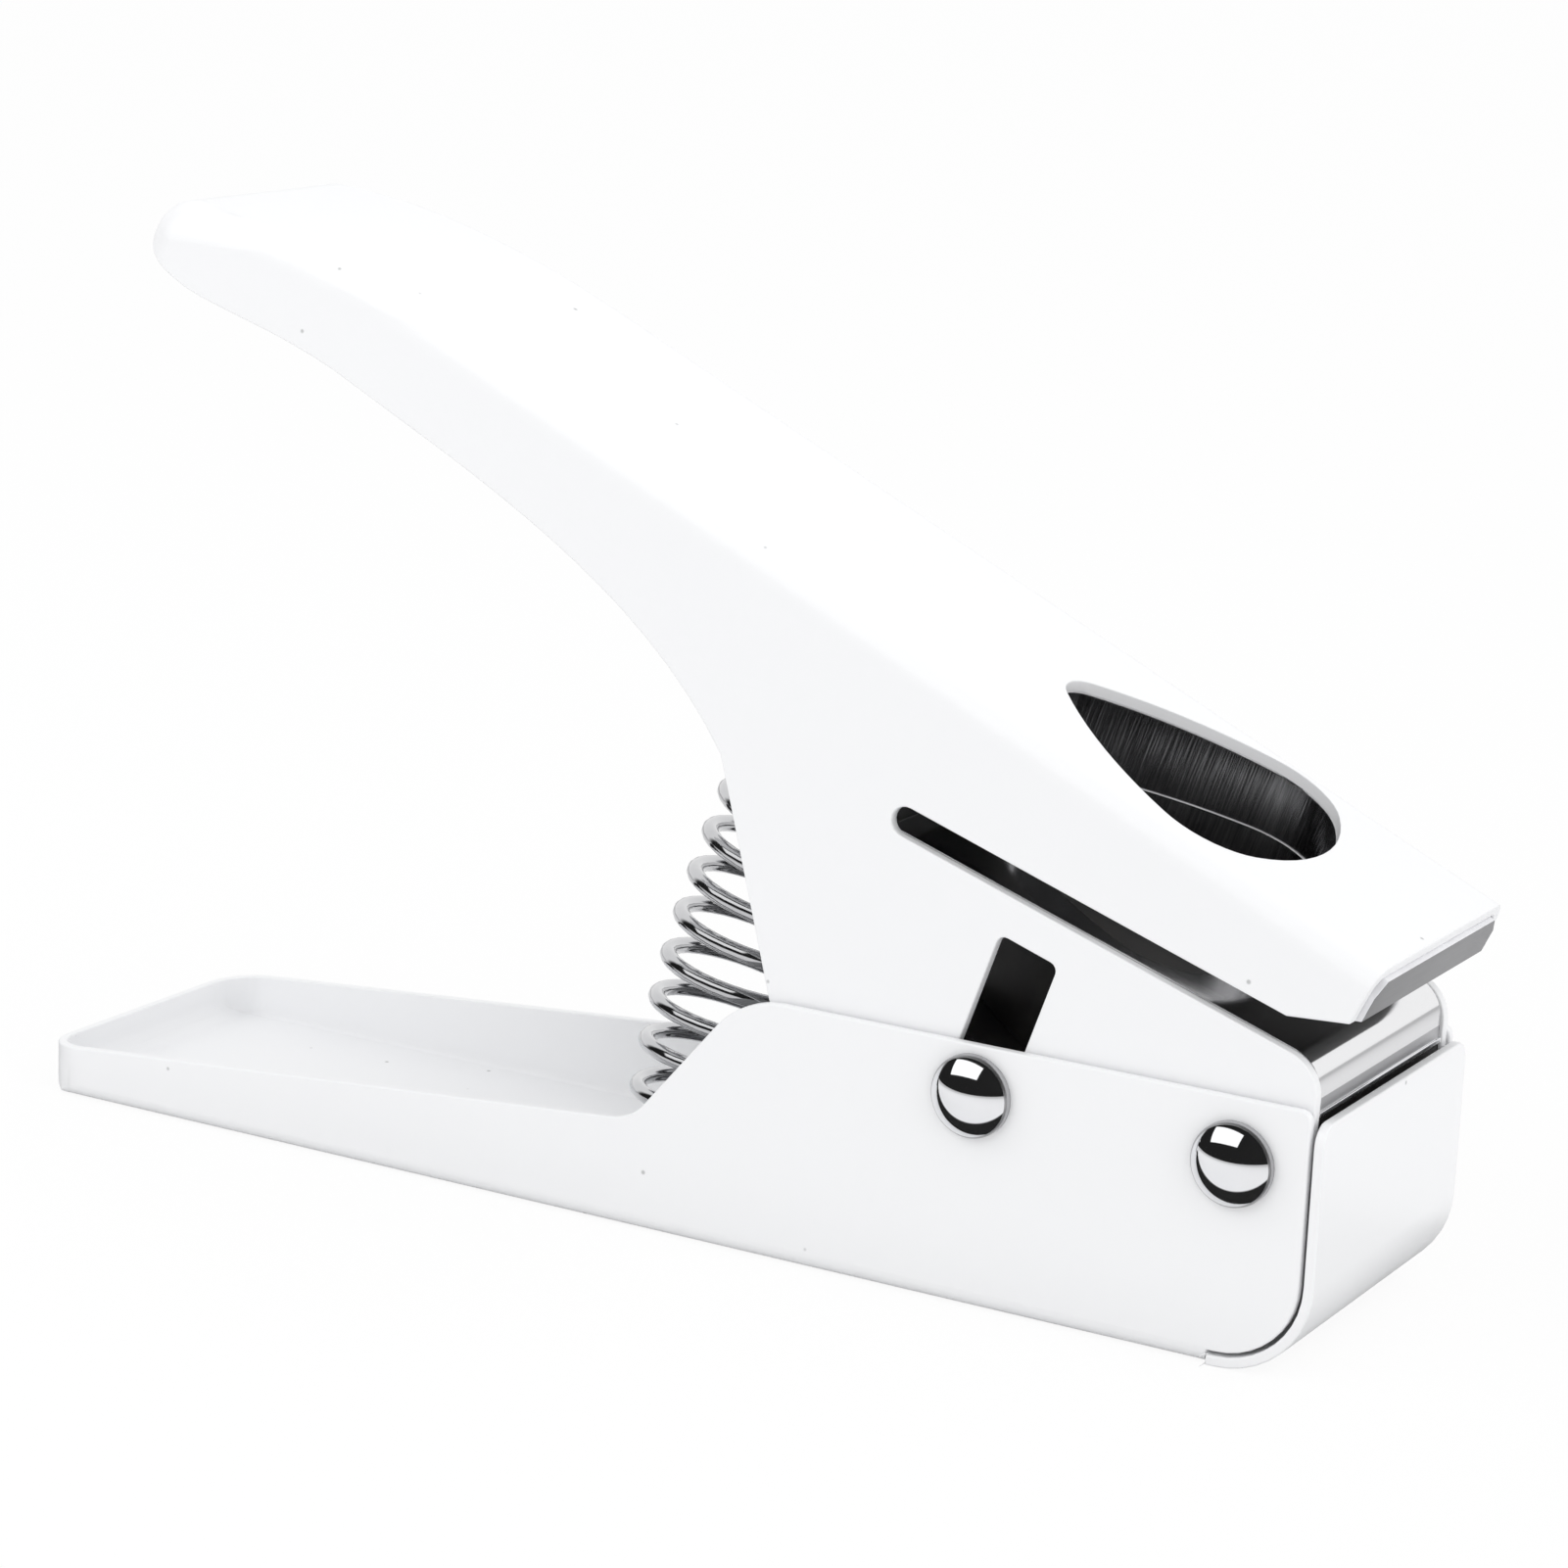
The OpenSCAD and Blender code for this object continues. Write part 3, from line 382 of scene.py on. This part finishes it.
bright = chrome()
rim_shade = shaded_rim_steel()
rim_h = 0.7 * MM
# Past this share of the radius, the domes take the darker steel of painted shade.
chrome_share = 0.93
cap_socket_h = 1.02 * MM
for pin, shank_r in (("pivot_pin", 2.5 * MM), ("punch_pin", 2.4 * MM)):
    low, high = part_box(pin)
    cap_low, cap_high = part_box(pin + "_cap")
    dome_r = (high.x - low.x) / 2
    dome_h = cap_high.y - cap_low.y
    middle = (low + high) / 2
    shank_l = high.y - low.y - dome_h
    pin_profile = dome_profile(dome_r, dome_h, rim_h) + [(shank_r, 0), (shank_r, -shank_l), (0, -shank_l)]
    pin_mesh = turned(pin_profile, Vector((middle.x, low.y + dome_h, middle.z)), Vector((0, -1, 0)))
    polish(pin_mesh, pin + "_polished", pin, dome_r, middle)
    socket_r = shank_r + 0.02 * MM
    socket = [(socket_r, 0), (socket_r, cap_socket_h), (0, cap_socket_h)]
    cap_profile = dome_profile(dome_r, dome_h, rim_h) + socket
    cap_mesh = turned(cap_profile, Vector((middle.x, cap_low.y, middle.z)), Vector((0, 1, 0)))
    polish(cap_mesh, pin + "_cap_polished", pin + "_cap", dome_r, middle)


# Return spring
# A plated steel wire, wound to the right with a closer curl at each end. Its axis bows from the tray's floor
# to the sloping handle, so its curls tip forward more and more, and they lean a little to the far side.
def spring_steel():
    material, shader, root, place = new_finish("spring_wire")
    stain = root.add("ShaderNodeTexNoise", {}, {"Vector": place, "Scale": 190.0, "Detail": 3.0})
    grain = root.add("ShaderNodeTexNoise", {}, {"Vector": place, "Scale": 2600.0, "Detail": 2.0})
    colour = root.tint(stain, (0.5, 0.505, 0.52, 1), (0.64, 0.64, 0.65, 1))
    normal = root.add("ShaderNodeBump", {}, {"Strength": 0.08, "Distance": 0.02 * MM, "Height": grain})
    rough = 0.06 + stain * 0.06
    root.feed(shader, {"Base Color": colour, "Roughness": rough, "Normal": normal, "Metallic": 1.0})
    return material


pivot = Vector(frame["joints"][0]["pos_m"])
rest_angle = radians(24.75)
wire_r = 0.8 * MM
coil_r = 8.95 * MM
close_pitch = 2.4 * MM
foot_curls, open_curls, head_curls = 1, 13, 1
curl_steps = 36
wire_sides = 18
spring_phase = radians(260)
curl_lean = radians(5.5)
lean_places = (0.06, 0.22, 0.8, 0.95)
foot = pivot + Vector((-61.25, 0, -16.45)) * MM
knee = pivot + Vector((-60.7, 0, 4.0)) * MM
head = pivot + Vector((-43.02, 0, 40.92)) * MM
bow_steps = linspace(0, 1, 61)
bow = [foot.lerp(knee, t).lerp(knee.lerp(head, t), t) for t in bow_steps]
runs = cumsum([0] + [(b - a).length for a, b in zip(bow, bow[1:])])
open_pitch = (runs[-1] - (foot_curls + head_curls) * close_pitch) / open_curls

spring = bmesh.new()
stand = Matrix.Translation((coil_r, 0, 0)) @ Matrix.Rotation(pi / 2, 4, "X")
ring = bmesh.ops.create_circle(spring, segments=wire_sides, radius=wire_r)["verts"]
bmesh.ops.transform(spring, matrix=Matrix.Rotation(spring_phase, 4, "Z") @ stand, verts=ring)
geom = ring + list(spring.edges)
climb = [0.0]
for turns, pitch in ((foot_curls, close_pitch), (open_curls, open_pitch), (head_curls, close_pitch)):
    wound = bmesh.ops.spin(
        spring, geom=geom, cent=(0, 0, 0), axis=(0, 0, 1), dvec=(0, 0, pitch / curl_steps),
        angle=2 * pi * turns, steps=turns * curl_steps,
    )
    geom = wound["geom_last"]
    climb += [climb[-1] + pitch * step / curl_steps for step in range(1, turns * curl_steps + 1)]
bmesh.ops.holes_fill(spring, edges=[e for e in spring.edges if e.is_boundary], sides=0)
for index, vert in enumerate(spring.verts):
    run = climb[index // wire_sides]
    t = interp(run, runs, bow_steps)
    spine = foot.lerp(knee, t).lerp(knee.lerp(head, t), t)
    rise = (knee - foot).lerp(head - knee, t)
    lean = interp(t, lean_places, (0, curl_lean, curl_lean, 0))
    turn = Matrix.Rotation(atan2(rise.x, rise.z), 3, "Y") @ Matrix.Rotation(-lean, 3, "X")
    vert.co = spine + turn @ (vert.co - Vector((0, 0, run)))
bmesh.ops.recalc_face_normals(spring, faces=spring.faces)
coil = new_piece("return_spring_wound", spring, spring_steel())
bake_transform(coil)
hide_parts("return_spring")

# Handle
# A channel of 1.2 mm sheet steel with deep cheeks in front, drawn round at its drooping rear end.
# The card slot, the pin slots and the pick-shaped outlet are cut before it is powder coated like the base.
handle_l = 140 * MM
handle_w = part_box("handle_shell")[1].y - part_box("handle_shell")[0].y
sheet_t = 1.2 * MM
top_h = 22 * MM
flat_half_w = 12.85 * MM
droop_l = 35.5 * MM
droop_r = 115 * MM
corner_r = 4.5 * MM
corner_room = 0.02 * MM
corner_drop = 40 * MM
front_reach = 175 * MM
front_room = 5 * MM
lever = Matrix.Translation(pivot) @ Matrix.Rotation(rest_angle, 4, "Y")

# A round-cornered form that the rear end of the channel is pressed to
ball_run = droop_l - corner_r
ball_z = top_h - droop_r + sqrt((droop_r - corner_r) ** 2 - ball_run ** 2)
end_slope = asin(ball_run / (droop_r - corner_r))
form = bmesh.new()
for side in (-1, 1):
    ball_y = side * (handle_w / 2 - corner_r + corner_room)
    for drop in (0, corner_drop):
        ball_at = Matrix.Translation((corner_r - handle_l, ball_y, ball_z - drop))
        bmesh.ops.create_uvsphere(form, u_segments=64, v_segments=32, radius=corner_r, matrix=ball_at)
        bmesh.ops.delete(form, geom=form.edges[:], context="EDGES_FACES")
    front_y = side * (handle_w / 2 + front_room)
    front_top = ball_z + corner_r + front_reach * tan(end_slope) + front_room
    for front_z in (front_top, -2 * corner_drop):
        form.verts.new((corner_r - handle_l + front_reach, front_y, front_z))
hull = bmesh.ops.convex_hull(form, input=form.verts)
spare = [g for g in hull["geom_interior"] + hull["geom_unused"] if isinstance(g, bmesh.types.BMVert)]
bmesh.ops.delete(form, geom=list(set(spare)), context="VERTS")
bmesh.ops.recalc_face_normals(form, faces=form.faces)
bmesh.ops.transform(form, matrix=lever, verts=form.verts)
form_piece = new_piece("corner_form", form)
blank = new_piece("handle_blank", joined_copy("handle_shell"))
press = blank.modifiers.new("press", "BOOLEAN")
press.operation = "INTERSECT"
press.solver = "EXACT"
press.object = form_piece
pressed = blank.evaluated_get(bpy.context.evaluated_depsgraph_get()).to_mesh()
handle = bmesh.new()
handle.from_mesh(pressed)
bpy.data.objects.remove(blank)
bpy.data.objects.remove(form_piece)
bmesh.ops.remove_doubles(handle, verts=handle.verts, dist=0.01 * MM)
bmesh.ops.dissolve_degenerate(handle, edges=handle.edges, dist=0.01 * MM)
bmesh.ops.dissolve_limit(handle, angle_limit=radians(0.5), verts=handle.verts, edges=handle.edges)
to_lever = lever.inverted()
places = {vert: to_lever @ vert.co for vert in handle.verts}
top_floor = top_h - 1.1 * sheet_t
inside_top = {v for v, place in places.items() if abs(place.y) < flat_half_w and place.z > top_floor}
outlet_rim = {edge for edge in handle.edges if inside_top.issuperset(edge.verts)}
soften(handle, 0.12 * MM, steps=4, spared=set(handle.edges) - outlet_rim)
soften(handle, 0.18 * MM)
fit(new_piece("handle_channel", handle, coat), "handle", "handle_shell")


# Pivot bushes and spacer
# Two flanged bushes of sintered bronze in the cheeks run on the pivot pin.
# A plated tube between them keeps the cheeks apart.
def sintered_bronze():
    material, shader, root, place = new_finish("sintered_bronze")
    pores = root.add("ShaderNodeTexVoronoi", {}, {"Vector": place, "Scale": 3400.0}).fade(0.1, 0.3)
    oil = root.add("ShaderNodeTexNoise", {}, {"Vector": place, "Scale": 300.0, "Detail": 3.0})
    colour = root.tint(oil, (0.52, 0.37, 0.19, 1), (0.65, 0.48, 0.27, 1))
    colour = root.tint(pores * 0.7, colour, (0.12, 0.08, 0.05, 1))
    normal = root.add("ShaderNodeBump", {}, {"Strength": 0.2, "Distance": 0.03 * MM, "Height": 1 - pores})
    root.feed(shader, {"Base Color": colour, "Roughness": 0.3 + oil * 0.15, "Normal": normal, "Metallic": 1.0})
    return material


bronze = sintered_bronze()
softened("pivot_bush_near", "pivot_bush_near_sintered", 0.1 * MM, bronze, "handle")
softened("pivot_bush_far", "pivot_bush_far_sintered", 0.1 * MM, bronze, "handle")
softened("pivot_spacer", "pivot_spacer_plated", 0.15 * MM, zinc, "handle")


# Die
# A backing block, a hardened die plate and a spacer, stacked under the handle's top and ground flat.
# The pick-shaped hole is cut by wire, which leaves fine lines down its walls. Top and ends get a pale grey, a
# painted highlight on the ledge in the hole and on the ends, and the underside is blacked.
jaw_angle = radians(18.35)
jaw = Matrix.Translation(pivot) @ Matrix.Rotation(jaw_angle, 4, "Y")
to_jaw = jaw.inverted()
seam_z = 17.23 * MM
hole_near, hole_far = -37 * MM, -7 * MM
hole_half_w = 13.2 * MM


def turned_to_jaw(root, place, x, y, z):
    """Coordinates along the jaws, measured in grains of the given sizes."""
    sockets = {"Vector": place, "Location": pivot, "Rotation": (0, jaw_angle, 0), "Scale": (x, y, z)}
    return root.add("ShaderNodeMapping", {"vector_type": "TEXTURE"}, sockets)


def ground_steel(name, tone, rough, metal):
    material, shader, root, place = new_finish(name)
    strokes = turned_to_jaw(root, place, 0.12 * MM, 6 * MM, 0.12 * MM)
    lines = root.add("ShaderNodeTexNoise", {}, {"Vector": strokes, "Scale": 1.0, "Detail": 3.0})
    cloud = root.add("ShaderNodeTexNoise", {}, {"Vector": place, "Scale": 160.0, "Detail": 2.0})
    darker = (0.9 * tone, 0.9 * tone, 0.93 * tone, 1)
    lighter = (1.1 * tone, 1.1 * tone, 1.12 * tone, 1)
    colour = root.tint(cloud, darker, lighter)
    normal = root.add("ShaderNodeBump", {}, {"Strength": 0.08, "Distance": 0.02 * MM, "Height": lines})
    sockets = {"Base Color": colour, "Roughness": rough + lines * 0.12, "Normal": normal, "Metallic": metal}
    root.feed(shader, sockets)
    return material


def wire_cut_steel():
    material, shader, root, place = new_finish("wire_cut_steel")
    strokes = turned_to_jaw(root, place, 0.19 * MM, 0.3 * MM, 6 * MM)
    lines = root.add("ShaderNodeTexNoise", {}, {"Vector": strokes, "Scale": 1.0, "Detail": 1.0})
    cloud = root.add("ShaderNodeTexNoise", {}, {"Vector": place, "Scale": 240.0, "Detail": 3.0})
    colour = root.tint(lines, (0.1, 0.1, 0.105, 1), (0.46, 0.46, 0.47, 1))
    normal = root.add("ShaderNodeBump", {}, {"Strength": 0.6, "Distance": 0.06 * MM, "Height": lines})
    rough = 0.12 + cloud * 0.15
    root.feed(shader, {"Base Color": colour, "Roughness": rough, "Normal": normal, "Metallic": 1.0})
    return material


# Black steel for the screws, punch, holder and the die's undersides, and painted shade on the guide plate's lowest
# front face.
def black_oxide_and_shade():
    material, shader, root, place = new_finish("black_oxide_and_shade")
    bloom = root.add("ShaderNodeTexNoise", {}, {"Vector": place, "Scale": 320.0, "Detail": 4.0})
    grain = root.add("ShaderNodeTexNoise", {}, {"Vector": place, "Scale": 2400.0, "Detail": 2.0})
    colour = root.tint(bloom, (0.016, 0.016, 0.018, 1), (0.05, 0.047, 0.045, 1))
    normal = root.add("ShaderNodeBump", {}, {"Strength": 0.12, "Distance": 0.02 * MM, "Height": grain})
    rough = 0.34 + bloom * 0.16
    root.feed(shader, {"Base Color": colour, "Roughness": rough, "Normal": normal, "Metallic": 0.7})
    return material


def in_hole(place):
    return hole_near < place.x < hole_far and abs(place.y) < hole_half_w


def die_piece(node, name, edge_r):
    """A softened copy of a die plate with its four finishes. Its outer seam stays even."""
    bm = joined_copy(node)
    for face in bm.faces:
        facing = to_jaw.to_3x3() @ face.normal
        if abs(facing.z) < 0.2 and in_hole(to_jaw @ face.calc_center_median()):
            face.material_index = 1
        # Tops and ends take the pale grey, a painted highlight.
        elif facing.z > 0.9 or abs(facing.y) > 0.6:
            face.material_index = 2
        elif facing.z < -0.9:
            face.material_index = 3
    seam = [e for e in bm.edges if all(abs((to_jaw @ v.co).z - seam_z) < 0.01 * MM for v in e.verts)]
    outer = {e for e in seam if not all(in_hole(to_jaw @ v.co) for v in e.verts)}
    soften(bm, edge_r, spared=outer)
    fit(new_piece(name, bm, ground, wire_cut, die_highlight, black), "handle", node)


ground = ground_steel("ground_steel", 0.31, 0.34, 1.0)
# A pale, barely metallic grey for the die's tops and ends: painted highlight.
die_highlight = ground_steel("pale_highlight_steel", 0.86, 0.36, 0.1)
wire_cut = wire_cut_steel()
black = black_oxide_and_shade()
die_piece("die_backing", "die_backing_ground", 0.1 * MM)
die_piece("die_plate", "die_plate_ground", 0.05 * MM)
softened("die_spacer", "die_spacer_ground", 0.1 * MM, ground, "handle")


# Guide plate
# The lower jaw: a plate with a satin chrome top, bent round at the front and ground below the bend. A bright
# bead runs along the foot of the ground face, and below it the front is black, a painted shade for the gap under
# the jaw. The card lies on the plate, and the punch slides in its hole.
def satin_chrome():
    material, shader, root, place = new_finish("satin_chrome")
    strokes = turned_to_jaw(root, place, 4 * MM, 0.1 * MM, 0.1 * MM)
    lines = root.add("ShaderNodeTexNoise", {}, {"Vector": strokes, "Scale": 1.0, "Detail": 2.0})
    colour = root.tint(lines, (0.8, 0.8, 0.81, 1), (0.88, 0.88, 0.89, 1))
    normal = root.add("ShaderNodeBump", {}, {"Strength": 0.06, "Distance": 0.02 * MM, "Height": lines})
    sockets = {"Base Color": colour, "Roughness": 0.08 + lines * 0.06, "Normal": normal, "Metallic": 1.0}
    root.feed(shader, sockets)
    return material


ground_top, bead_top, bead_foot = 25.5 * MM, 24.3 * MM, 23.85 * MM
bead_proud = 0.2 * MM
guide = joined_copy("guide_plate")
for height in (ground_top, bead_top, bead_foot):
    everything = guide.verts[:] + guide.edges[:] + guide.faces[:]
    bmesh.ops.bisect_plane(guide, geom=everything, plane_co=(0, 0, height), plane_no=(0, 0, 1))
# The front faces get their finishes by height; the lowest takes black, a painted shade for the gap under the jaw.
fronts = [face for face in guide.faces if face.normal.x > 0.99]
for face in fronts:
    face_z = face.calc_center_median().z
    face.material_index = 0 if face_z > ground_top else 1 if face_z > bead_top else 2 if face_z > bead_foot else 3
bead = [face for face in fronts if face.material_index == 2]
pulled = bmesh.ops.extrude_face_region(guide, geom=bead)["geom"]
pulled_verts = [g for g in pulled if isinstance(g, bmesh.types.BMVert)]
bmesh.ops.delete(guide, geom=bead, context="FACES_ONLY")
bmesh.ops.translate(guide, vec=(bead_proud, 0, 0), verts=pulled_verts)
bmesh.ops.recalc_face_normals(guide, faces=guide.faces)
soften(guide, 0.08 * MM)
ground_edge = ground_steel("ground_edge", 0.5, 0.26, 1.0)
satin = satin_chrome()
fit(new_piece("guide_plate_satin", guide, satin, ground_edge, bright, black), "handle", "guide_plate")

# Die screws
# Two socket screws, black with oil, that hold backing, die plate, spacer and guide plate together.
softened("die_screws", "die_screws_black", 0.1 * MM, black, "handle")

# Spring cup
# A pressed cup, zinc plated and welded under the handle's top, that holds the spring's upper end.
softened("spring_cup", "spring_cup_plated", 0.25 * MM, zinc, "handle")

# Punch, holder and screws
# A hardened pick-shaped column, ground on its face and screwed on a holder that hangs on the punch pin.
# Punch and holder are blacked, and the two screws between them are plated.
softened("punch", "punch_black", 0.06 * MM, black, "punch")
softened("punch_holder", "punch_holder_black", 0.15 * MM, black, "punch")
softened("punch_screws", "punch_screws_plated", 0.1 * MM, zinc, "punch")
